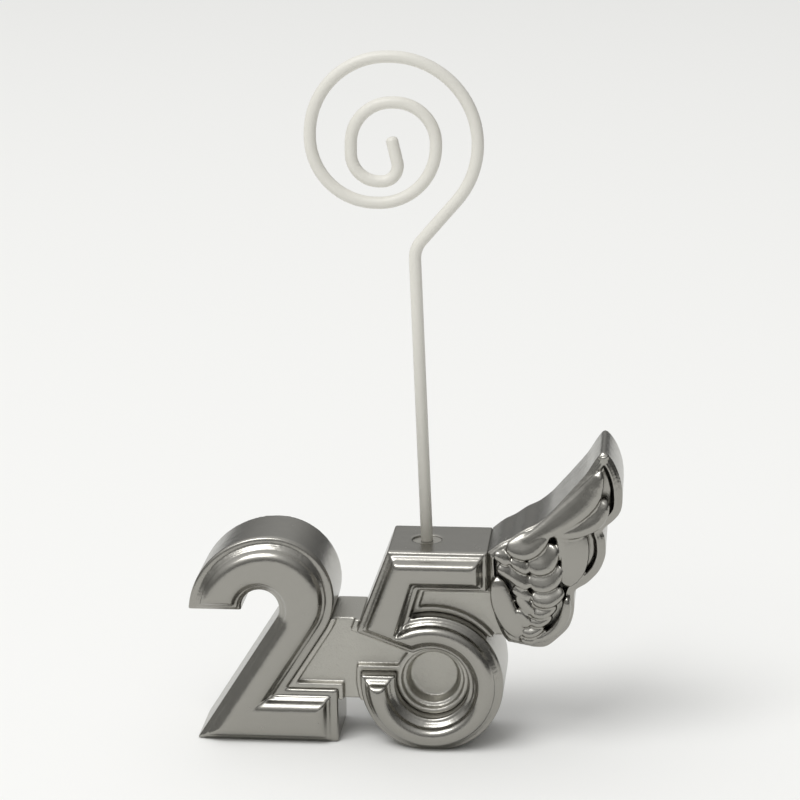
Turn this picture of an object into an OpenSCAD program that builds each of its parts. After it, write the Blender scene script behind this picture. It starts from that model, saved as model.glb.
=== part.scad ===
// Place card holder: a cast number 25 with an angel wing at its side and a white
// coated wire that ends in a flat spiral for the card. The front faces -Y, the back
// is flat, and both digits stand on z = 0.

/* [Figure] */
// depth of the figure, from its flat back to the front of the five
body_depth = 16.4; // [14:0.1:24]
// how far the front of the two stands behind the front of the five
two_setback = 1.9; // [0.5:0.1:3]
// depth of the recessed webs, from the flat back
web_depth = 10.9; // [8:0.1:12]
// width of the low skirt round a digit where it meets a web
skirt_w = 0.9; // [0.4:0.1:1.5]
// height of the skirt in front of the web
skirt_rise = 1.2; // [0.4:0.1:1.5]

/* [Rim and stroke] */
// height of the raised stroke in front of its rim
stroke_rise = 2; // [1.5:0.1:3]
// rounding of the front edge of the rim
edge_r = 0.5; // [0.2:0.05:0.8]
// height of the shelf between rim and stroke
shelf_rise = 0.5; // [0.2:0.05:0.9]
// width of the shelf between rim and stroke
shelf_w = 0.45; // [0.2:0.05:0.8]
// width of the rim of the five
five_rim_w = 0.9; // [0.6:0.05:1.4]
// rounding of the raised stroke of the five
five_shoulder_r = 1.3; // [0.8:0.1:1.6]
// width of the rim of the two on its outer side
two_rim_w = 1.4; // [0.8:0.05:1.8]
// width of the rim of the two on its inner side
two_inner_rim_w = 0.6; // [0.5:0.05:1.2]
// rounding of the raised stroke of the two
two_shoulder_r = 1.8; // [1:0.1:2]

/* [Two] */
// height of the two
two_h = 35.9; // [34:0.1:40]
// distance from the middle of the holder to the middle of the bow of the two
two_axis_x = 22.1; // [22:0.1:24]
// radius of the bow on its right side
two_bow_r = 10.6; // [10:0.1:11]
// radius of the bow on its left side
two_hook_r = 13.9; // [13:0.1:14.5]
// width of the slanted stroke
two_stroke_w = 7.9; // [7:0.1:8.5]
// radius of the round opening inside the bow
two_eye_r = 3.2; // [2.8:0.1:3.6]
// height of the middle of that opening
two_eye_z = 23.4; // [22:0.1:25]
// height of the cut end of the hook
two_cut_z = 23; // [22:0.1:24]
// height of the foot bar
two_foot_h = 9.4; // [8:0.1:11]
// distance from the middle of the holder to the right end of the foot bar
two_foot_x = 11; // [10.5:0.1:12]

/* [Five] */
// height of the five
five_h = 34.5; // [33:0.1:37]
// distance from the middle of the holder to the right end of the top bar
five_right_x = 14.1; // [13:0.1:15]
// height of the top bar of the five
five_bar_w = 6.7; // [6.2:0.1:7.2]
// place of the lower outer corner of the stem, left of the middle
five_corner_x = 7.6; // [7:0.1:8]
// height of that corner
five_corner_z = 20.3; // [19.8:0.1:21]
// width of the stem along its top
five_stem_w = 6.5; // [6:0.1:7]
// distance from the middle of the holder to the middle of the bowl
five_bowl_x = 4.9; // [4.5:0.1:5.3]
// height of the middle of the bowl
five_bowl_z = 11.5; // [11.3:0.1:11.8]
// outer radius of the bowl
five_bowl_r = 11.9; // [11.9:0.1:12.2]
// inner radius of the bowl
five_eye_r = 6.1; // [5.6:0.1:6.5]
// height of the cut end of the bowl
five_cut_z = 12.8; // [12:0.1:13.4]

/* [Webs] */
// height of the upper edge of the web between the digits
link_top_z = 21.7; // [21:0.1:23]
// height of the arch under that web
link_low_z = 7.4; // [6:0.1:9]
// depth of the dish floor inside the bowl, from the flat back
dish_depth = 8.8; // [7:0.1:10]
// radius of the dish floor
dish_floor_r = 4; // [3.4:0.1:4.6]
// width of the ledge round the dish floor
dish_ledge_w = 0.9; // [0.5:0.1:1.2]
// slope width of the dish wall
dish_slope_w = 0.5; // [0.2:0.1:0.8]

/* [Wing] */
// width of the wing
wing_w = 21.9; // [20:0.1:24]
// height of the wing
wing_h = 33.6; // [32:0.1:36]
// height of the lowest point of the wing
wing_low_z = 18.2; // [17.5:0.1:19]
// depth of the rim of the wing, from the flat back
wing_rim_depth = 13.6; // [12.5:0.1:14.5]
// width of the rim of the wing
wing_rim_w = 1.1; // [0.6:0.1:1.6]
// rise of the plate inside the rim
wing_plate_rise = 0.5; // [0.2:0.1:0.9]
// half width of a long feather
feather_r = 1.9; // [1.6:0.1:2.2]
// height of a feather from its edge to its crown
feather_rise = 1.5; // [1:0.1:1.9]

/* [Wire] */
// thickness of the white wire
wire_d = 2; // [1.6:0.1:2.4]
// distance from the flat back to the middle of the wire
wire_from_back = 7.2; // [6:0.1:8]
// distance from the middle of the holder to the foot of the wire
wire_foot_x = 3.65; // [3:0.05:5]
// lean of the stem of the wire to the left
wire_lean = 2; // [0:0.1:4]
// length of the straight stem above the figure
stem_len = 47.5; // [40:0.5:60]
// radius of the bend above the stem
bend_r = 4.3; // [4:0.1:6]
// turn of the bend above the stem
bend_turn = 43; // [40:0.1:46]
// length of the straight run after the bend
run_len = 8.7; // [7:0.1:11]
// radius of the outermost turn of the spiral, at the middle of the wire
spiral_r = 14; // [13:0.1:16]
// turn of the outermost bend of the spiral
spiral_turn = 130.5; // [128:0.5:133]
// straight link between two bends of the spiral
turn_link = 0.5; // [0.3:0.1:1]
// turn of the last hook beyond a quarter circle
hook_turn = 13.7; // [8:0.1:18]
// length of the straight free end
tip_len = 4.2; // [3:0.1:4.6]

/* [Socket] */
// outer thickness of the bush in the top of the five
bush_d = 4.8; // [4:0.1:5.4]
// depth of the hole for the bush
bush_depth = 6; // [5:0.1:6.2]
// how far the bush lies under the top of the five
bush_sink = 0.3; // [0.1:0.1:0.6]
// floor of the bush
bush_floor = 0.7; // [0.5:0.1:1]
// running clearance of the wire in the bush, all round
wire_clear = 0.05; // [0.03:0.01:0.1]

/* [Hidden] */
$fn = 48;

silver = [0.66, 0.65, 0.63];
grain_silver = [0.5, 0.5, 0.48];
white = [0.86, 0.86, 0.83];

// heights of the faces in front of the flat back
five_face_h = body_depth - stroke_rise;
two_face_h = five_face_h - two_setback;
// steps of the small and of the large rounding
edge_steps = 3;
round_steps = 5;
// reach of the cutting solids, past the whole figure
reach = 2 * (two_axis_x + two_hook_r);

// leans as run and rise along a slanted side
two_slant_shares = [0.5376, 0.8432];
stem_side_shares = [0.352, 0.936];
stem_inner_shares = [0.28, 0.96];
two_lean = atan2(two_slant_shares[0], two_slant_shares[1]);
five_lean = atan2(stem_side_shares[0], stem_side_shares[1]);
five_inner_lean = atan2(stem_inner_shares[0], stem_inner_shares[1]);
five_slope = five_lean;

// places in the two: bow and hook in the plane of its front, the eye and the sides of
// the slanted stroke in a frame at the bow with its first axis across that stroke
two_bow = [-two_axis_x, two_h - two_bow_r];
two_hook = [-two_axis_x, two_h - two_hook_r];
slant_left_x = two_bow_r - two_stroke_w;
eye_x = slant_left_x - two_eye_r;
eye_y = (two_eye_z - two_bow[1] + eye_x * sin(two_lean)) / cos(two_lean);
two_eye = [eye_x, eye_y];

// places in the five
five_bowl = [five_bowl_x, five_bowl_z];
stem_out = 180 - five_lean;
five_corner = [-five_corner_x, five_corner_z];
bar_low_z = five_h - five_bar_w;
stem_top_x = -five_corner_x + (five_h - five_corner_z) * tan(five_lean);
inner_top_x = stem_top_x + five_stem_w / cos(five_lean);
stem_inner = [inner_top_x, five_h];

// places of the wing
wing_left_x = five_right_x;
wing_outline_shares = [[-0.04, 0.46], [0.02, 0.5], [0.09, 0.53], [0.18, 0.56], [0.27, 0.6], [0.36, 0.63],
    [0.45, 0.68], [0.54, 0.74], [0.63, 0.81], [0.73, 0.89], [0.8, 0.96], [0.86, 1],
    [0.93, 0.95], [0.98, 0.87], [1, 0.79], [0.99, 0.71], [0.94, 0.66], [0.86, 0.61],
    [0.87, 0.57], [0.88, 0.51], [0.87, 0.46], [0.83, 0.4], [0.75, 0.34], [0.66, 0.3],
    [0.65, 0.26], [0.65, 0.19], [0.61, 0.11], [0.53, 0.05], [0.45, 0.01], [0.38, 0],
    [0.29, 0.01], [0.2, 0.02], [0.15, 0.03], [0.1, 0.08], [0.05, 0.17], [0.03, 0.26],
    [-0.04, 0.32]];
// feathers as places along each vane, with the half width at both ends as shares
feather_shares = [
    [[[0.17, 0.52], [0.36, 0.59], [0.54, 0.67], [0.7, 0.77], [0.8, 0.86], [0.85, 0.93]], 0.7, 0.6],
    [[[0.54, 0.61], [0.7, 0.65], [0.82, 0.69], [0.9, 0.75]], 1, 0.5],
    [[[0.58, 0.59], [0.64, 0.51], [0.66, 0.43], [0.62, 0.36]], 1, 1],
    [[[0.2, 0.51], [0.32, 0.5], [0.42, 0.54]], 0.75, 0.75],
    [[[0.37, 0.44], [0.45, 0.45], [0.5, 0.49]], 0.8, 0.6],
    [[[0.4, 0.35], [0.48, 0.36], [0.53, 0.4]], 0.8, 0.6],
    [[[0.39, 0.26], [0.47, 0.26], [0.54, 0.28]], 0.6, 0.5],
    [[[0.36, 0.19], [0.47, 0.2]], 0.5, 0.5],
    [[[0.37, 0.14], [0.45, 0.15]], 0.35, 0.35],
    [[[0.28, 0.09], [0.37, 0.09]], 0.4, 0.4],
    [[[0.59, 0.27], [0.56, 0.17], [0.48, 0.09], [0.35, 0.04]], 0.4, 0.4],
    [[[0.1, 0.33], [0.13, 0.22], [0.21, 0.11]], 0.7, 0.8],
    [[[0.12, 0.47], [0.14, 0.44]], 0.6, 0.5],
    [[[0.13, 0.39], [0.28, 0.4]], 0.45, 0.6],
    [[[0.2, 0.33], [0.3, 0.33]], 0.5, 0.6],
    [[[0.22, 0.27], [0.31, 0.28]], 0.45, 0.45],
    [[[0.27, 0.19], [0.31, 0.22]], 0.5, 0.5]];
plate_depth = wing_rim_depth + wing_plate_rise;
notch_low_share = 0.03;
notch_right_share = 0.15;
notch_low_z = wing_low_z + notch_low_share * wing_h;
notch_right_x = wing_left_x + notch_right_share * wing_w;
function wing_place(p) = [wing_left_x + p[0] * wing_w, wing_low_z + p[1] * wing_h];

// route of the wire as straight runs [length] and bends [radius, turn to the left],
// from the floor of the bush to the free end
bore_depth = bush_depth - bush_sink - bush_floor;
spiral_shares = [0.893, 0.757, 0.657, 0.471, 0.471];
inner_run_share = 0.121;
inner_bend_share = 0.321;
hook_share = 0.182;
wire_route = concat(
    [[bush_sink + bore_depth + stem_len], [bend_r, -bend_turn], [run_len]],
    [[spiral_r, spiral_turn]],
    [for (s = spiral_shares, part = [[turn_link], [spiral_r * s, 90]]) part],
    [[spiral_r * inner_run_share], [spiral_r * inner_bend_share, 90], [turn_link]],
    [[spiral_r * hook_share, 90 + hook_turn], [tip_len]]);

// closed curve through points
function turn_point(a, b, c, d, t) =
    0.5 * (2 * b + (c - a) * t + (2 * a - 5 * b + 4 * c - d) * t * t
    + (3 * b - a - 3 * c + d) * t * t * t);
function closed_curve(p, n) = [for (i = [0:len(p) - 1], k = [0:n - 1])
    turn_point(p[(i + len(p) - 1) % len(p)], p[i], p[(i + 1) % len(p)],
        p[(i + 2) % len(p)], k / n)];

// points along the middle of the wire, in its own plane
function step_end(p, t, s) = len(s) == 1 ? p + s[0] * [-sin(t), cos(t)]
    : bend_point(p, t, s, s[1]);
function bend_point(p, t, s, a) = s[1] > 0
    ? p - s[0] * [cos(t), sin(t)] + s[0] * [cos(t + a), sin(t + a)]
    : p + s[0] * [cos(t), sin(t)] - s[0] * [cos(t + a), sin(t + a)];
function step_turn(s) = len(s) == 1 ? 0 : s[1];
function step_points(p, t, s, n) = [for (k = [0:n - 1])
    len(s) == 1 ? p + k / n * s[0] * [-sin(t), cos(t)] : bend_point(p, t, s, s[1] * k / n)];
function route_points(i, p, t, n) = i == len(wire_route) ? [p]
    : concat(step_points(p, t, wire_route[i], n), route_points(i + 1,
        step_end(p, t, wire_route[i]), t + step_turn(wire_route[i]), n));
wire_points = route_points(0, [0, 0], 0, 10);
// points further apart than this many steps along the wire count as other turns
apart = 25;
wire_gap = min([for (i = [0:len(wire_points) - 1], j = [i + apart:1:len(wire_points) - 1])
    norm(wire_points[i] - wire_points[j])]) - wire_d;

// stands a solid drawn in the plane of the front up on its lower edge
module upright() {
    translate([0, body_depth / 2, 0]) rotate([90, 0, 0]) children();
}

// section across the edge of a digit: wall, rim, shelf and rounded stroke,
// or a plain wall where a web is trimmed to the digit
module edge_section(span, rim_w) {
    shelf_h = $face_h + shelf_rise;
    stroke_h = $face_h + stroke_rise;
    round_h = stroke_h - $shoulder;
    stroke_u = rim_w + shelf_w + $shoulder;
    low_turn = round_h < shelf_h ? asin((shelf_h - round_h) / $shoulder) : 0;
    if ($plain) {
        square([span, $face_h]);
    } else {
        polygon(concat([[0, 0]],
            [for (k = [0:edge_steps]) [edge_r, $face_h - edge_r]
                + edge_r * [-cos(90 * k / edge_steps), sin(90 * k / edge_steps)]],
            [[rim_w, $face_h], [rim_w, shelf_h]],
            round_h > shelf_h ? [[rim_w + shelf_w, shelf_h]] : [],
            [for (k = [0:round_steps], a = low_turn + (90 - low_turn) * k / round_steps)
                [stroke_u, round_h] + $shoulder * [-cos(a), sin(a)]],
            [[span, stroke_h], [span, 0]]));
    }
}

// straight, round and hollow edges of a digit; grown outwards by $grow
module straight_edge(at, out, rim_w) {
    translate(at + $grow * [cos(out), sin(out)]) rotate([0, 0, out + 180])
        rotate([90, 0, 0]) linear_extrude(2 * reach, center = true)
            edge_section(reach, rim_w);
}
module round_edge(at, r, rim_w) {
    translate(at) rotate_extrude() intersection() {
        translate([r + $grow, 0]) mirror([1, 0]) edge_section(r + $grow, rim_w);
        square([r + $grow, body_depth]);
    }
}
module hollow_edge(at, r, rim_w) {
    translate(at) rotate_extrude()
        translate([r - $grow, 0]) edge_section(reach, rim_w);
}
// half space on the inner side of a line
module half(at, out) {
    translate(at) rotate([0, 0, out + 180]) translate([0, -reach, 0])
        cube([reach, 2 * reach, body_depth]);
}

// the two in the plane of its front: hook, bow, slanted stroke and foot bar
module slant_frame() {
    translate(two_bow) rotate([0, 0, -two_lean]) children();
}
module two_strokes() {
    intersection() {
        round_edge(two_hook, two_hook_r, two_rim_w);
        slant_frame() hollow_edge(two_eye, two_eye_r, two_inner_rim_w);
        straight_edge([0, two_cut_z], 270, two_inner_rim_w);
        half(two_bow, 0);
    }
    intersection() {
        slant_frame() round_edge([0, 0], two_bow_r, two_rim_w);
        slant_frame() hollow_edge(two_eye, two_eye_r, two_inner_rim_w);
        half(two_bow, 180);
        slant_frame() half([0, 0], 270);
    }
    slant_frame() intersection() {
        straight_edge([two_bow_r, 0], 0, two_rim_w);
        hollow_edge(two_eye, two_eye_r, two_inner_rim_w);
        half([0, 0], 90);
        half(two_eye, 270);
        half(two_eye, 180);
    }
    intersection() {
        slant_frame() straight_edge([slant_left_x, 0], 180, two_inner_rim_w);
        straight_edge([0, 0], 270, two_inner_rim_w);
        union() {
            slant_frame() intersection() {
                straight_edge([two_bow_r, 0], 0, two_rim_w);
                half(two_eye, 90);
            }
            intersection() {
                straight_edge([0, two_foot_h], 90, two_rim_w);
                straight_edge([-two_foot_x, 0], 0, two_rim_w);
            }
        }
    }
}

// the five in the plane of its front: top bar, stem and bowl
module five_strokes() {
    intersection() {
        straight_edge([0, five_h], 90, five_rim_w);
        straight_edge(five_corner, stem_out, five_rim_w);
        union() {
            intersection() {
                straight_edge([0, bar_low_z], 270, five_rim_w);
                straight_edge([five_right_x, 0], 0, five_rim_w);
            }
            intersection() {
                straight_edge(stem_inner, -five_inner_lean, five_rim_w);
                straight_edge(five_corner, 270 - five_slope, five_rim_w);
            }
        }
    }
    intersection() {
        round_edge(five_bowl, five_bowl_r, five_rim_w);
        hollow_edge(five_bowl, five_eye_r, five_rim_w);
        half([0, 0], 270);
        union() {
            half(five_bowl, 180);
            straight_edge([0, five_cut_z], 90, five_rim_w);
            straight_edge(five_corner, 270 - five_slope, five_rim_w);
        }
    }
}

// prisms with the outlines of the digits, for what is trimmed to them
module two_prism(h, grow = 0) {
    $plain = true;
    $grow = grow;
    $face_h = h;
    $shoulder = two_shoulder_r;
    two_strokes();
}
module five_prism(h, grow = 0) {
    $plain = true;
    $grow = grow;
    $face_h = h;
    $shoulder = five_shoulder_r;
    five_strokes();
}

module digit_two() {
    $plain = false;
    $grow = 0;
    $face_h = two_face_h;
    $shoulder = two_shoulder_r;
    color(silver) upright() two_strokes();
}

module digit_five() {
    $plain = false;
    $grow = 0;
    $face_h = five_face_h;
    $shoulder = five_shoulder_r;
    color(silver) difference() {
        upright() five_strokes();
        at_wire() translate([0, 0, -bush_depth]) cylinder(h = reach, d = bush_d);
    }
}

// web between the digits, with the stepped dish inside the bowl of the five
module link_area(h) {
    intersection() {
        translate([-two_axis_x, link_low_z, 0])
            cube([two_axis_x + five_bowl_x, link_top_z - link_low_z, h]);
        slant_frame() half([two_bow_r - two_stroke_w / 2, 0], 180);
    }
}
module link_web() {
    color(grain_silver) upright() difference() {
        union() {
            link_area(web_depth);
            intersection() {
                link_area(web_depth + skirt_rise);
                union() {
                    two_prism(web_depth + skirt_rise, skirt_w);
                    five_prism(web_depth + skirt_rise, skirt_w);
                }
            }
            translate(five_bowl) cylinder(h = web_depth + skirt_rise, r = five_eye_r);
        }
        two_prism(body_depth);
        five_prism(body_depth);
        translate([five_bowl_x, five_bowl_z, dish_depth])
            cylinder(h = body_depth, r1 = dish_floor_r, r2 = dish_floor_r
                + dish_slope_w * body_depth / (web_depth - dish_depth));
        translate([five_bowl_x, five_bowl_z, web_depth])
            cylinder(h = body_depth, r = five_eye_r - dish_ledge_w);
    }
}

// infill of the notch between top bar, stem, bowl and wing
module notch_area(h) {
    translate([0, notch_low_z, 0])
        cube([wing_left_x + wing_w / 2, bar_low_z - notch_low_z, h]);
}
module notch_web() {
    color(grain_silver) upright() difference() {
        intersection() {
            union() {
                notch_area(web_depth);
                intersection() {
                    notch_area(web_depth + skirt_rise);
                    five_prism(web_depth + skirt_rise, skirt_w);
                }
            }
            half([notch_right_x, 0], 0);
        }
        five_prism(body_depth);
        wing_prism(body_depth);
    }
}

// wing: a stepped plate with its feathers laid over each other
module wing_outline() {
    polygon([for (p = closed_curve(wing_outline_shares, 3)) wing_place(p)]);
}
module wing_prism(h) {
    intersection() {
        linear_extrude(h) wing_outline();
        half([wing_left_x, 0], 180);
    }
}
module feather_spot(p, share) {
    translate([wing_place(p)[0], wing_place(p)[1], plate_depth])
        scale([feather_r * share, feather_r * share, feather_rise]) sphere(1, $fn = 16);
}
module feather(f) {
    n = len(f[0]) - 1;
    for (i = [0:n - 1]) hull() {
        feather_spot(f[0][i], f[1] + (f[2] - f[1]) * i / n);
        feather_spot(f[0][i + 1], f[1] + (f[2] - f[1]) * (i + 1) / n);
    }
}
module wing() {
    color(silver) upright() intersection() {
        union() {
            linear_extrude(wing_rim_depth) wing_outline();
            linear_extrude(plate_depth) offset(delta = -wing_rim_w) wing_outline();
            for (f = feather_shares) feather(f);
        }
        half([wing_left_x, 0], 180);
    }
}

// place of the foot of the wire in the top of the five, along its stem
module at_wire() {
    translate([wire_foot_x, body_depth / 2 - wire_from_back, five_h])
        rotate([0, -wire_lean, 0]) children();
}

module wire_socket() {
    color(grain_silver) at_wire() translate([0, 0, -bush_depth]) difference() {
        cylinder(h = bush_depth - bush_sink, d = bush_d);
        translate([0, 0, bush_floor]) cylinder(h = bush_depth, d = wire_d + 2 * wire_clear);
    }
}

// the wire along its route: each run or bend carries the next one
module wire_from(i) {
    if (i < len(wire_route)) {
        s = wire_route[i];
        if (len(s) == 1) {
            cylinder(h = s[0], d = wire_d);
            translate([0, 0, s[0]]) wire_from(i + 1);
        } else {
            half_turn = s[1] > 0 ? 0 : 180;
            rotate([0, 0, half_turn]) translate([-s[0], 0, 0]) {
                rotate([90, 0, 0]) rotate_extrude(angle = abs(s[1]))
                    translate([s[0], 0]) circle(d = wire_d);
                rotate([0, -abs(s[1]), 0]) translate([s[0], 0, 0])
                    rotate([0, 0, half_turn]) wire_from(i + 1);
            }
        }
    }
}
module card_wire() {
    color(white) at_wire() translate([0, 0, -bush_sink - bore_depth]) wire_from(0);
}

digit_two();
digit_five();
link_web();
notch_web();
wing();
wire_socket();
card_wire();
echo("least gap between turns of the wire", wire_gap);
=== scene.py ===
"""Place card holder: a silver cast number with a feathered wing and a white spiral wire.

The digits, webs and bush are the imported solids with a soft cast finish. The wing and the
wire are modelled here in the same frame, metres, +Z up, with the front towards -Y.
"""

import math

import bmesh
import bpy
from mathutils import Matrix, Vector


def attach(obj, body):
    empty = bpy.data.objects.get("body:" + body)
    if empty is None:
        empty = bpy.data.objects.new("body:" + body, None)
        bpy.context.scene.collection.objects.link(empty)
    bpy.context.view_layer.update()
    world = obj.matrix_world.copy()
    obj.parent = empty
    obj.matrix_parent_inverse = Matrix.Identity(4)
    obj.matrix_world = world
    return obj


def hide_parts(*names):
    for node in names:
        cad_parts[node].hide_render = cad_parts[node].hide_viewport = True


bl_info = {
    "name": "Place card holder",
    "version": (1, 0, 0),
    "blender": (4, 5, 0),
    "location": "View3D > Sidebar > Card holder",
    "description": "Finishes and lights a place card holder",
    "category": "Object",
}

MM = 0.001
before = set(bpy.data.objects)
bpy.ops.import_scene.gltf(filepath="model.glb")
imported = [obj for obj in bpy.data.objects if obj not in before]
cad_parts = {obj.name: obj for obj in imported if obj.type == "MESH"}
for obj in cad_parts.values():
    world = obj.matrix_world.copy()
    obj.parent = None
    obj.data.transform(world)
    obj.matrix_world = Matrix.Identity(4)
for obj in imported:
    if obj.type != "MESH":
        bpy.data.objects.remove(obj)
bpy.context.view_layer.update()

# foot of the wire on top of the five, its lean to the left and how far it goes down from there
WIRE_FOOT = (3.65, 1.0, 34.5)
WIRE_LEAN = 2.0
WIRE_IN_BUSH = 5.3
# stem, bend, run and spiral of the wire in millimetres and degrees, as in the part's source
STEM_LEN = 47.5
BEND_R = 4.3
BEND_TURN = 43.0
RUN_LEN = 8.7
SPIRAL_R = 14.0
SPIRAL_TURN = 130.5
TURN_LINK = 0.5
SPIRAL_SHARES = (0.893, 0.757, 0.657, 0.471, 0.471)
INNER_RUN_SHARE = 0.121
INNER_BEND_SHARE = 0.321
HOOK_SHARE = 0.182
HOOK_TURN = 103.7
TIP_LEN = 4.2
# route of the wire: straight runs by length, bends by radius and turn to the left
WIRE_ROUTE = (
    (WIRE_IN_BUSH + STEM_LEN,),
    (BEND_R, -BEND_TURN),
    (RUN_LEN,),
    (SPIRAL_R, SPIRAL_TURN),
    *(part for share in SPIRAL_SHARES for part in ((TURN_LINK,), (SPIRAL_R * share, 90.0))),
    (SPIRAL_R * INNER_RUN_SHARE,),
    (SPIRAL_R * INNER_BEND_SHARE, 90.0),
    (TURN_LINK,),
    (SPIRAL_R * HOOK_SHARE, HOOK_TURN),
    (TIP_LEN,),
)

# corners round the wire, degrees of a bend to one ring, and the rounding of its free end
WIRE_SIDES = 24
WIRE_BEND_STEP = 4
WIRE_END_SHARE = 0.7

# outline of the wing in its plane, x and z in millimetres
WING_OUTLINE = (
    (14.1, 34.4), (16.1, 36.0), (18.0, 37.0), (20.0, 38.4), (22.0, 39.4), (24.0, 41.0),
    (25.9, 43.1), (27.9, 45.4), (30.1, 48.1), (31.6, 50.5), (32.9, 51.8), (34.5, 50.1),
    (35.6, 47.4), (36.0, 44.7), (35.8, 42.1), (34.7, 40.4), (32.9, 38.7), (33.2, 37.4),
    (33.4, 35.3), (33.2, 33.7), (32.3, 31.6), (30.5, 29.6), (28.6, 28.3), (28.3, 26.9),
    (28.3, 24.6), (27.5, 21.9), (25.7, 19.9), (24.0, 18.5), (22.4, 18.2), (20.5, 18.5),
    (18.5, 18.9), (17.4, 19.2), (16.3, 20.9), (15.2, 23.9), (14.8, 26.9), (14.1, 28.5),
)

# points on the smooth curve through the outline of the wing
WING_OUTLINE_STEPS = 140
# steps of the wing's front from its edge inwards, as width and rise in millimetres
WING_RIM = ((0.4, 0), (0.15, 0.35), (0.45, 0), (0.1, 0.25), (0.3, 0), (0.35, -1.3))
# how far in front of the rim the level lies that the feathers are lifted from, in millimetres
FEATHER_LEVEL = 0.7
# rings along one feather, the rounding of a ring and the least share of its size at the ends
FEATHER_STEPS = 14
FEATHER_ROUND_SHARE = 0.7
FEATHER_TIP_SHARE = 0.02

# feathers, the undermost first: stations along the vane as x, z and half width, then its height
# over that level, its half thickness and its roll, in millimetres and degrees
FEATHERS = (
    (((25.4, 41.2, 2.0), (27.9, 37.2, 2.6), (28.2, 33.0, 2.3), (26.8, 29.2, 1.3)), 0.3, 1.0, 18),
    (((23.6, 39.0, 2.0), (27.8, 40.1, 2.6), (31.4, 41.4, 2.2), (33.5, 44.2, 1.2)), 0.55, 1.0, 20),
    (
        ((16.8, 35.2, 0.9), (22.1, 37.9, 1.3), (27.0, 41.4, 2.1), (30.6, 44.9, 2.1), (32.5, 49.2, 1.1)),
        0.85, 1.0, 18,
    ),
    (((27.2, 27.6, 0.7), (26.9, 24.4, 0.9), (25.2, 21.6, 0.9), (22.0, 19.6, 0.6)), 0.3, 0.9, 10),
    (((19.6, 20.2, 0.8), (21.2, 19.9, 0.9), (22.9, 20.4, 0.6)), 0.2, 0.8, 30),
    (((19.8, 21.7, 1.1), (21.4, 21.5, 1.2), (23.5, 22.3, 0.8)), 0.45, 0.8, 32),
    (((21.2, 23.5, 1.1), (22.9, 23.4, 1.2), (24.8, 24.4, 0.8)), 0.55, 0.8, 32),
    (((21.2, 25.2, 1.2), (23.3, 25.1, 1.4), (25.5, 26.3, 0.9)), 0.65, 0.8, 30),
    (((21.4, 27.6, 1.6), (24.2, 27.6, 1.9), (26.6, 28.9, 1.1)), 0.75, 0.8, 28),
    (((21.0, 30.9, 2.2), (23.8, 31.0, 2.5), (26.2, 32.8, 1.3)), 0.85, 0.85, 26),
    (((20.8, 34.1, 2.2), (23.2, 34.1, 2.6), (25.4, 36.5, 1.2)), 1.0, 0.85, 24),
    (((17.2, 35.9, 1.2), (20.6, 36.3, 2.3), (24.2, 38.6, 1.2)), 1.15, 0.85, 22),
    (((15.8, 30.8, 1.4), (16.6, 26.6, 1.9), (18.2, 23.0, 1.9), (19.6, 20.4, 1.1)), 0.5, 1.0, 0),
    (((19.0, 25.2, 0.9), (20.2, 23.7, 1.1), (20.6, 22.2, 0.8)), 0.75, 0.9, -16),
    (((19.2, 28.0, 0.8), (20.4, 26.3, 1.1), (21.6, 24.7, 0.8)), 0.95, 0.9, -16),
    (((18.4, 29.3, 1.0), (20.0, 28.2, 1.1), (21.2, 27.0, 0.8)), 0.9, 0.9, 14),
    (((17.4, 32.0, 1.0), (19.4, 30.8, 1.4), (21.2, 29.2, 1.0)), 1.05, 0.9, 22),
    (((15.8, 32.6, 0.8), (17.2, 31.9, 1.0), (18.6, 30.6, 0.8)), 1.1, 0.9, 22),
    (((18.0, 33.7, 0.8), (19.6, 33.0, 1.1), (21.0, 31.8, 0.8)), 1.2, 0.9, 22),
    (((15.2, 34.8, 0.7), (16.6, 34.3, 1.0), (17.8, 33.2, 0.8)), 1.1, 0.9, 14),
)

# rounds of easing for the bright skin, the grainy recesses and the wing
SKIN_ROUNDS = 6
GRAIN_ROUNDS = 4
WING_ROUNDS = 2
# the wing keeps finer edges than the digits, by this share
WING_STEP_SHARE = 0.9
WELD_SHARE = 0.005

# floor, softbox and room: metres, watts, and grey tones by height of the direction looked in
FLOOR_LOW = (-2.0, -2.0, -0.01)
FLOOR_HIGH = (2.0, 2.5, 0)
SOFTBOX_AT = (-1.0, -1.4, 2.6)
SOFTBOX_AIM = (0, 0, 0.03)
SOFTBOX_SIZE = (2.0, 1.4)
SOFTBOX_POWER = 49.0
ROOM_LOW = (0.0, (0.1, 0.1, 0.1, 1))
ROOM_MIDDLE = (0.27, (0.42, 0.42, 0.41, 1))
ROOM_HIGH = (0.65, (1.0, 1.0, 1.0, 1))
# strength of the room's light to the left and to the right, and where it goes from one to the other
ROOM_LEFT = 0.92
ROOM_RIGHT = 0.25
ROOM_TURNS = 0.1
ROOM_TURNED = 0.8

# the photograph's view: degrees round and above the holder, roll, metres off, aim and lens
VIEW_TURN = 5.5
VIEW_RISE = 15.0
VIEW_ROLL = -0.5
VIEW_FAR = 0.45
VIEW_AIM = (-0.65, 1.0, 58.3)
VIEW_SENSOR = 36.0
VIEW_NEAR = 0.01
VIEW_LENS = 123.5


def linear(code):
    """Scene-linear colour of a hex sRGB code."""
    parts = [int(code[i : i + 2], 16) / 255 for i in (1, 3, 5)]
    return [c / 12.92 if c <= 0.04045 else ((c + 0.055) / 1.055) ** 2.4 for c in parts]


def colour(code, label):
    """A colour setting with a hex sRGB code as its default."""
    return bpy.props.FloatVectorProperty(
        name=label, description=label, subtype="COLOR", size=3, min=0, max=1, default=linear(code)
    )


def length(mm, label, low, high):
    """A length setting in millimetres with its range."""
    return bpy.props.FloatProperty(
        name=label,
        description=label,
        unit="LENGTH",
        subtype="DISTANCE",
        default=mm * MM,
        min=low * MM,
        max=high * MM,
    )


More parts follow.
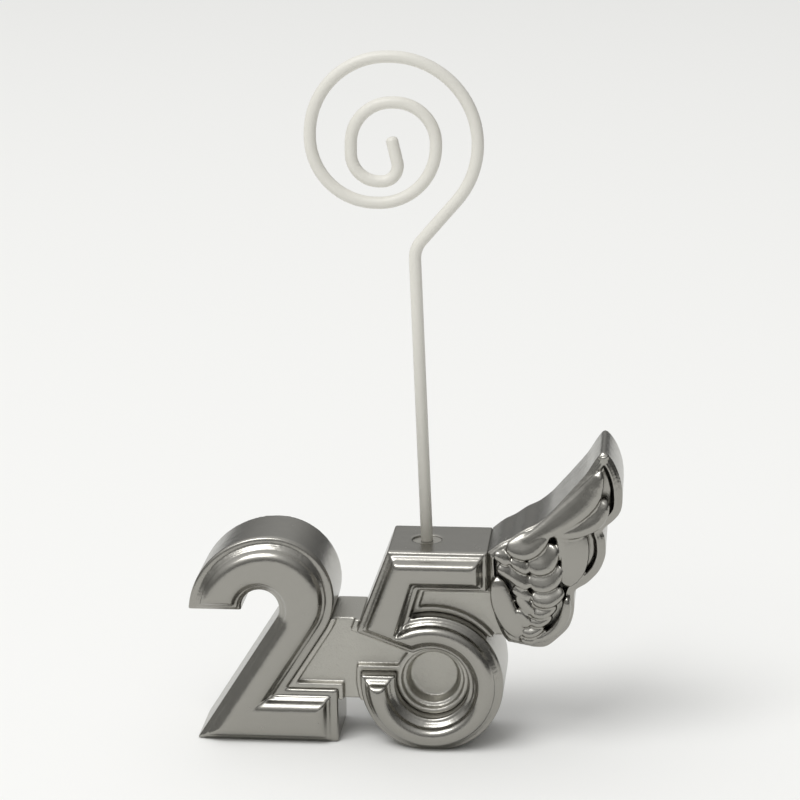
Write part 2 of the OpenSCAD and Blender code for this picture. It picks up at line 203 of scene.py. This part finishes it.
class HOLDER_PG_settings(bpy.types.PropertyGroup):
    """Sizes and colours of the holder."""

    silver: colour("#9d9b95", "Colour of the silver skin")
    grain: colour("#b5b3ac", "Colour of the grainy recesses")
    wire: colour("#dddbd3", "Colour of the coat on the wire")
    floor: colour("#f2f2f0", "Colour of the floor")
    wire_d: length(2.0, "Thickness of the wire", 1.6, 2.4)
    cast_step: length(0.21, "Size of the smallest edge the casting keeps", 0.15, 0.6)
    wing_rim_y: length(-5.4, "Front of the rim of the wing", -6.5, -4.0)
    wing_back_y: length(8.2, "Back of the wing", 8.0, 8.4)


# materials


def add(tree, kind, inputs=None, **settings):
    """A new node with its settings, its values and its links."""
    made = tree.nodes.new(kind)
    for key, value in settings.items():
        setattr(made, key, value)
    for key, value in (inputs or {}).items():
        if isinstance(value, bpy.types.NodeSocket):
            tree.links.new(value, made.inputs[key])
        else:
            made.inputs[key].default_value = value
    return made


def new_material(name):
    """An empty material, its tree, its surface output and the object's own coordinates."""
    made = bpy.data.materials.new(name)
    made.use_nodes = True
    tree = made.node_tree
    tree.nodes.clear()
    out = add(tree, "ShaderNodeOutputMaterial")
    where = add(tree, "ShaderNodeTexCoord").outputs["Object"]
    return made, tree, out, where


def silver_skin(rgb):
    """Metallised skin on a moulded resin casting."""
    # a bright soft gloss: waves and fine pits of the casting break reflections up at their edges
    wave_mm, pit_mm, cloud_mm = 2.6, 0.3, 1.2
    made, tree, out, where = new_material("metallised_silver_skin")
    waves = add(tree, "ShaderNodeTexNoise", {"Vector": where, "Scale": 1 / (wave_mm * MM)})
    pits = add(tree, "ShaderNodeTexNoise", {"Vector": where, "Scale": 1 / (pit_mm * MM), "Detail": 3.0})
    clouds = add(tree, "ShaderNodeTexNoise", {"Vector": where, "Scale": 1 / (cloud_mm * MM)})
    wavy = add(
        tree,
        "ShaderNodeBump",
        {"Height": waves.outputs["Fac"], "Strength": 0.25, "Distance": 0.12 * MM},
    )
    pitted = add(
        tree,
        "ShaderNodeBump",
        {
            "Height": pits.outputs["Fac"],
            "Strength": 0.2,
            "Distance": 0.05 * MM,
            "Normal": wavy.outputs["Normal"],
        },
    )
    haze = add(
        tree,
        "ShaderNodeMapRange",
        {"Value": clouds.outputs["Fac"], "To Min": 0.2, "To Max": 0.3},
    )
    skin = add(
        tree,
        "ShaderNodeBsdfPrincipled",
        {
            "Base Color": (*rgb, 1),
            "Metallic": 1.0,
            "Roughness": haze.outputs["Result"],
            "Normal": pitted.outputs["Normal"],
        },
    )
    tree.links.new(skin.outputs["BSDF"], out.inputs["Surface"])
    return made


def silver_grain(rgb):
    """Metallised skin over the sandy floor of the recesses."""
    # duller than the digits, with a fine glitter of small grains
    sand_mm, grit_mm = 0.32, 0.3
    made, tree, out, where = new_material("grainy_silver_skin")
    sand = add(tree, "ShaderNodeTexNoise", {"Vector": where, "Scale": 1 / (sand_mm * MM), "Detail": 3.0})
    grit = add(tree, "ShaderNodeTexVoronoi", {"Vector": where, "Scale": 1 / (grit_mm * MM)})
    sandy = add(
        tree,
        "ShaderNodeBump",
        {"Height": sand.outputs["Fac"], "Strength": 0.6, "Distance": 0.1 * MM},
    )
    gritty = add(
        tree,
        "ShaderNodeBump",
        {
            "Height": grit.outputs["Distance"],
            "Strength": 0.4,
            "Distance": 0.06 * MM,
            "Normal": sandy.outputs["Normal"],
        },
    )
    skin = add(
        tree,
        "ShaderNodeBsdfPrincipled",
        {
            "Base Color": (*rgb, 1),
            "Metallic": 1.0,
            "Roughness": 0.4,
            "Normal": gritty.outputs["Normal"],
        },
    )
    tree.links.new(skin.outputs["BSDF"], out.inputs["Surface"])
    return made


def white_coat(rgb):
    """Satin white coat on steel wire."""
    # even and pale, with a soft sheen along the upper side
    ripple_mm = 0.8
    made, tree, out, where = new_material("satin_white_coat")
    ripple = add(tree, "ShaderNodeTexNoise", {"Vector": where, "Scale": 1 / (ripple_mm * MM)})
    rippled = add(
        tree,
        "ShaderNodeBump",
        {"Height": ripple.outputs["Fac"], "Strength": 0.06, "Distance": 0.05 * MM},
    )
    skin = add(
        tree,
        "ShaderNodeBsdfPrincipled",
        {"Base Color": (*rgb, 1), "Roughness": 0.42, "Normal": rippled.outputs["Normal"]},
    )
    tree.links.new(skin.outputs["BSDF"], out.inputs["Surface"])
    return made


# shapes


def finish_piece(bm, name, body, node, material):
    """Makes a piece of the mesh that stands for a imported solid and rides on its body."""
    bmesh.ops.recalc_face_normals(bm, faces=bm.faces)
    mesh = bpy.data.meshes.new(name)
    bm.to_mesh(mesh)
    bm.free()
    mesh.shade_smooth()
    mesh.materials.append(material)
    obj = bpy.data.objects.new(name, mesh)
    bpy.context.scene.collection.objects.link(obj)
    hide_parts(node)
    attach(obj, body)
    return obj


def soften(obj, step, rounds):
    """Soft edges of a casting: one skin over the shape, with every corner eased."""
    weld = obj.modifiers.new("weld", "WELD")
    weld.merge_threshold = step * WELD_SHARE
    skin = obj.modifiers.new("skin", "REMESH")
    skin.mode = "VOXEL"
    skin.voxel_size = step * 1
    skin.use_smooth_shade = True
    ease = obj.modifiers.new("ease", "SMOOTH")
    ease.factor = 0.5
    ease.iterations = rounds


def along(points, count):
    """Places along a smooth open curve through the points, of any number of values."""
    ends = [points[0], *points, points[-1]]
    made = []
    for k in range(count + 1):
        t = k / count * (len(points) - 1)
        i = min(int(t), len(points) - 2)
        t -= i
        a, b, c, d = (Vector(p) for p in ends[i : i + 4])
        square = (a * 2 - b * 5 + c * 4 - d) * t**2
        cube = (b * 3 - a - c * 3 + d) * t**3
        made.append((b * 2 + (c - a) * t + square + cube) / 2)
    return made


def rounded_ring(bm):
    """Corners of a capped square ring, two units wide, with rounded corners."""
    turned = Matrix.Rotation(math.pi / 4, 4, "Z")
    ring = bmesh.ops.create_circle(
        bm, cap_ends=True, segments=4, radius=math.sqrt(2), matrix=turned
    )
    made = bmesh.ops.bevel(
        bm, geom=ring["verts"], offset=FEATHER_ROUND_SHARE, offset_type="OFFSET", segments=3,
        profile=0.5, affect="VERTICES", material=-1,
    )
    return list(made["verts"])


def drawn_out(bm, edges):
    """Draws a ring of edges out once and gives the corners and edges of the new ring."""
    made = bmesh.ops.extrude_edge_only(bm, edges=edges)["geom"]
    verts = [g for g in made if isinstance(g, bmesh.types.BMVert)]
    rim = set(verts)
    ring = [g for g in made if isinstance(g, bmesh.types.BMEdge) and all(v in rim for v in g.verts)]
    return verts, ring


def leaf(bm, vane, plate_y, lift, thick, roll):
    """One feather: a flat rounded ring drawn out along its vane and closed at both ends."""
    spots = along(vane, FEATHER_STEPS)
    rolled = Matrix.Rotation(math.radians(-roll), 3, "Z")
    front = Vector((0, -1, 0))
    side = Vector((-0.5, 0, 0.9))
    verts = rounded_ring(bm)
    rim = set(verts)
    edges = list({e for v in verts for e in v.link_edges if all(w in rim for w in e.verts)})
    last = Matrix.Identity(4)
    for k, spot in enumerate(spots):
        ahead = spots[min(k + 1, FEATHER_STEPS)] - spots[max(k - 1, 0)]
        run = Vector((ahead.x, 0, ahead.y)).normalized()
        across = Vector((-run.z, 0, run.x))
        side = across if across.dot(side) > 0 else -across
        end = math.sqrt(max(1 - (2 * k / FEATHER_STEPS - 1) ** 4, FEATHER_TIP_SHARE))
        basis = Matrix((side, front, run)).transposed() @ rolled
        place = Matrix.Translation((spot.x * MM, plate_y - lift * MM, spot.y * MM)) @ basis.to_4x4()
        place = place @ Matrix.Diagonal((spot.z * end * MM, thick * end * MM, 1, 1))
        if k:
            verts, edges = drawn_out(bm, edges)
        bmesh.ops.transform(bm, matrix=place @ last.inverted(), verts=verts)
        last = place
    bmesh.ops.edgeloop_fill(bm, edges=edges)


def wing_plate(bm, rim_y, back_y):
    """The plate of the wing: a stepped rim round a sunken bed for the feathers."""
    edge = along(WING_OUTLINE, WING_OUTLINE_STEPS)
    face = bm.faces.new([bm.verts.new((p.x * MM, back_y, p.y * MM)) for p in edge])
    made = bmesh.ops.extrude_face_region(bm, geom=[face])["geom"]
    moved = [g for g in made if isinstance(g, bmesh.types.BMVert)]
    bmesh.ops.translate(bm, vec=(0, rim_y - back_y, 0), verts=moved)
    front = [g for g in made if isinstance(g, bmesh.types.BMFace)]
    bmesh.ops.recalc_face_normals(bm, faces=bm.faces)
    for width, rise in WING_RIM:
        bmesh.ops.inset_region(
            bm, faces=front, thickness=width * MM, depth=rise * MM, use_even_offset=False
        )


def wire_tube(bm, radius):
    """The wire: one ring drawn along the runs and spun through the bends of its route."""
    at = Vector((0, 0, -WIRE_IN_BUSH * MM))
    ring = bmesh.ops.create_circle(
        bm, cap_ends=True, segments=WIRE_SIDES, radius=radius, matrix=Matrix.Translation(at)
    )
    geom = list(ring["verts"]) + list({e for v in ring["verts"] for e in v.link_edges})
    turn = 0.0
    for part in WIRE_ROUTE:
        heading = Vector((-math.sin(turn), 0, math.cos(turn)))
        if len(part) == 1:
            edges = [g for g in geom if isinstance(g, bmesh.types.BMEdge)]
            verts, ring = drawn_out(bm, edges)
            bmesh.ops.translate(bm, vec=heading * part[0] * MM, verts=verts)
            geom = verts + ring
            at = at + heading * part[0] * MM
        else:
            bend, degrees = part[0] * MM, part[1]
            left = Vector((-math.cos(turn), 0, -math.sin(turn)))
            middle = at + left * math.copysign(bend, degrees)
            angle = math.radians(degrees)
            made = bmesh.ops.spin(
                bm,
                geom=geom,
                cent=middle,
                axis=(0, 1, 0),
                angle=-angle,
                steps=max(8, round(abs(degrees) / WIRE_BEND_STEP)),
                use_duplicate=False,
            )["geom_last"]
            geom = [g for g in made if isinstance(g, (bmesh.types.BMVert, bmesh.types.BMEdge))]
            at = middle + Matrix.Rotation(-angle, 3, "Y") @ (at - middle)
            turn += angle
    edges = [g for g in geom if isinstance(g, bmesh.types.BMEdge)]
    bmesh.ops.edgeloop_fill(bm, edges=edges)
    bmesh.ops.bevel(
        bm, geom=edges, offset=radius * WIRE_END_SHARE, offset_type="OFFSET", segments=4,
        profile=0.5, affect="EDGES", material=-1,
    )
    foot = Matrix.Translation(Vector(WIRE_FOOT) * MM)
    lean = Matrix.Rotation(math.radians(-WIRE_LEAN), 4, "Y")
    bmesh.ops.transform(bm, matrix=foot @ lean, verts=bm.verts)


# operators


class HOLDER_OT_figure(bpy.types.Operator):
    """Give the cast digits, webs and bush their silver skin and soft edges"""

    bl_idname = "holder.figure"
    bl_label = "Finish the figure"

    def execute(self, context):
        s = context.scene.holder
        skin, grain = silver_skin(s.silver), silver_grain(s.grain)
        finish = {
            "digit_two": skin,
            "digit_five": skin,
            "link_web": grain,
            "notch_web": grain,
            "wire_socket": grain,
        }
        for name, material in finish.items():
            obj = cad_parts[name]
            obj.data.materials.clear()
            obj.data.materials.append(material)
            if name != "wire_socket":
                soften(obj, s.cast_step, SKIN_ROUNDS if material is skin else GRAIN_ROUNDS)
        return {"FINISHED"}


class HOLDER_OT_wing(bpy.types.Operator):
    """Model the wing with its feathers laid over each other"""

    bl_idname = "holder.wing"
    bl_label = "Model the wing"

    def execute(self, context):
        s = context.scene.holder
        bm = bmesh.new()
        wing_plate(bm, s.wing_rim_y, s.wing_back_y)
        plate_y = s.wing_rim_y - FEATHER_LEVEL * MM
        for vane, lift, thick, roll in FEATHERS:
            leaf(bm, vane, plate_y, lift, thick, roll)
        obj = finish_piece(
            bm, "wing_feathers", "figure", "wing",
            bpy.data.materials["metallised_silver_skin"],
        )
        soften(obj, s.cast_step * WING_STEP_SHARE, WING_ROUNDS)
        return {"FINISHED"}


class HOLDER_OT_wire(bpy.types.Operator):
    """Model the white wire with its flat spiral and rounded end"""

    bl_idname = "holder.wire"
    bl_label = "Model the wire"

    def execute(self, context):
        s = context.scene.holder
        bm = bmesh.new()
        wire_tube(bm, s.wire_d / 2)
        finish_piece(bm, "spiral_wire", "wire", "card_wire", white_coat(s.wire))
        return {"FINISHED"}


class HOLDER_OT_stage(bpy.types.Operator):
    """Set the floor, the soft light and the camera"""

    bl_idname = "holder.stage"
    bl_label = "Set the stage"

    def execute(self, context):
        scene = context.scene
        scene.view_settings.view_transform = "Standard"
        self.floor(scene.holder.floor)
        self.light()
        self.camera(scene)
        return {"FINISHED"}

    def floor(self, rgb):
        """A board of pale paper, which isn't part of the holder and takes its soft shadow."""
        made, tree, out, _ = new_material("pale_paper")
        # matt and even
        paper = add(tree, "ShaderNodeBsdfDiffuse", {"Color": (*rgb, 1)})
        tree.links.new(paper.outputs[0], out.inputs["Surface"])
        low, high = Vector(FLOOR_LOW), Vector(FLOOR_HIGH)
        bm = bmesh.new()
        bmesh.ops.create_cube(bm, size=1)
        bmesh.ops.scale(bm, vec=high - low, verts=bm.verts)
        bmesh.ops.translate(bm, vec=(low + high) / 2, verts=bm.verts)
        mesh = bpy.data.meshes.new("floor")
        bm.to_mesh(mesh)
        bm.free()
        mesh.materials.append(made)
        obj = bpy.data.objects.new("floor", mesh)
        bpy.context.scene.collection.objects.link(obj)

    def light(self):
        """Soft light from a bright ceiling in a room that is darker low down and to the right,
        with a softbox above the front left."""
        world = bpy.data.worlds.new("studio")
        bpy.context.scene.world = world
        world.use_nodes = True
        tree = world.node_tree
        tree.nodes.clear()
        out = add(tree, "ShaderNodeOutputWorld")
        where = add(tree, "ShaderNodeTexCoord").outputs["Generated"]
        toward = add(tree, "ShaderNodeSeparateXYZ", {"Vector": where}).outputs
        ramp = add(tree, "ShaderNodeValToRGB", {"Fac": toward["Z"]})
        stops = ramp.color_ramp.elements
        stops[0].position, stops[0].color = ROOM_LOW
        stops[1].position, stops[1].color = ROOM_HIGH
        stops.new(ROOM_MIDDLE[0]).color = ROOM_MIDDLE[1]
        level = add(
            tree,
            "ShaderNodeMapRange",
            {
                "Value": toward["X"],
                "From Min": ROOM_TURNS,
                "From Max": ROOM_TURNED,
                "To Min": ROOM_LEFT,
                "To Max": ROOM_RIGHT,
            },
        ).outputs["Result"]
        sky = add(tree, "ShaderNodeBackground", {"Color": ramp.outputs["Color"], "Strength": level})
        tree.links.new(sky.outputs[0], out.inputs["Surface"])
        data = bpy.data.lights.new("softbox", "AREA")
        data.shape = "RECTANGLE"
        data.size, data.size_y = SOFTBOX_SIZE
        data.energy = SOFTBOX_POWER
        lamp = bpy.data.objects.new("softbox", data)
        lamp.location = SOFTBOX_AT
        aim = Vector(SOFTBOX_AIM) - Vector(SOFTBOX_AT)
        lamp.rotation_euler = aim.to_track_quat("-Z", "Y").to_euler()
        bpy.context.scene.collection.objects.link(lamp)

    def camera(self, scene):
        """The photograph's view: a long lens a little above the holder and to its right."""
        az, el, roll = (math.radians(d) for d in (VIEW_TURN, VIEW_RISE, VIEW_ROLL))
        target = Vector(VIEW_AIM) * MM
        back = Vector((math.sin(az) * math.cos(el), -math.cos(az) * math.cos(el), math.sin(el)))
        data = bpy.data.cameras.new("photo_view")
        data.sensor_width, data.lens = VIEW_SENSOR, VIEW_LENS
        data.clip_start = VIEW_NEAR
        obj = bpy.data.objects.new("photo_view", data)
        turned = back.to_track_quat("Z", "Y").to_matrix() @ Matrix.Rotation(roll, 3, "Z")
        obj.matrix_world = Matrix.Translation(target + back * VIEW_FAR) @ turned.to_4x4()
        scene.collection.objects.link(obj)
        scene.camera = obj


class HOLDER_PT_panel(bpy.types.Panel):
    """Sizes, colours and steps of the card holder"""

    bl_idname = "HOLDER_PT_panel"
    bl_label = "Card holder"
    bl_space_type = "VIEW_3D"
    bl_region_type = "UI"
    bl_category = "Card holder"

    def draw(self, context):
        for key in HOLDER_PG_settings.__annotations__:
            self.layout.prop(context.scene.holder, key)
        for step in STEPS:
            self.layout.operator(step.bl_idname)


STEPS = (HOLDER_OT_figure, HOLDER_OT_wing, HOLDER_OT_wire, HOLDER_OT_stage)
CLASSES = (HOLDER_PG_settings, *STEPS, HOLDER_PT_panel)


def register():
    for cls in CLASSES:
        bpy.utils.register_class(cls)
    bpy.types.Scene.holder = bpy.props.PointerProperty(type=HOLDER_PG_settings)


def unregister():
    del bpy.types.Scene.holder
    for cls in reversed(CLASSES):
        bpy.utils.unregister_class(cls)


def main():
    register()
    bpy.ops.holder.figure()
    bpy.ops.holder.wing()
    bpy.ops.holder.wire()
    bpy.ops.holder.stage()


if __name__ == "__main__":
    main()
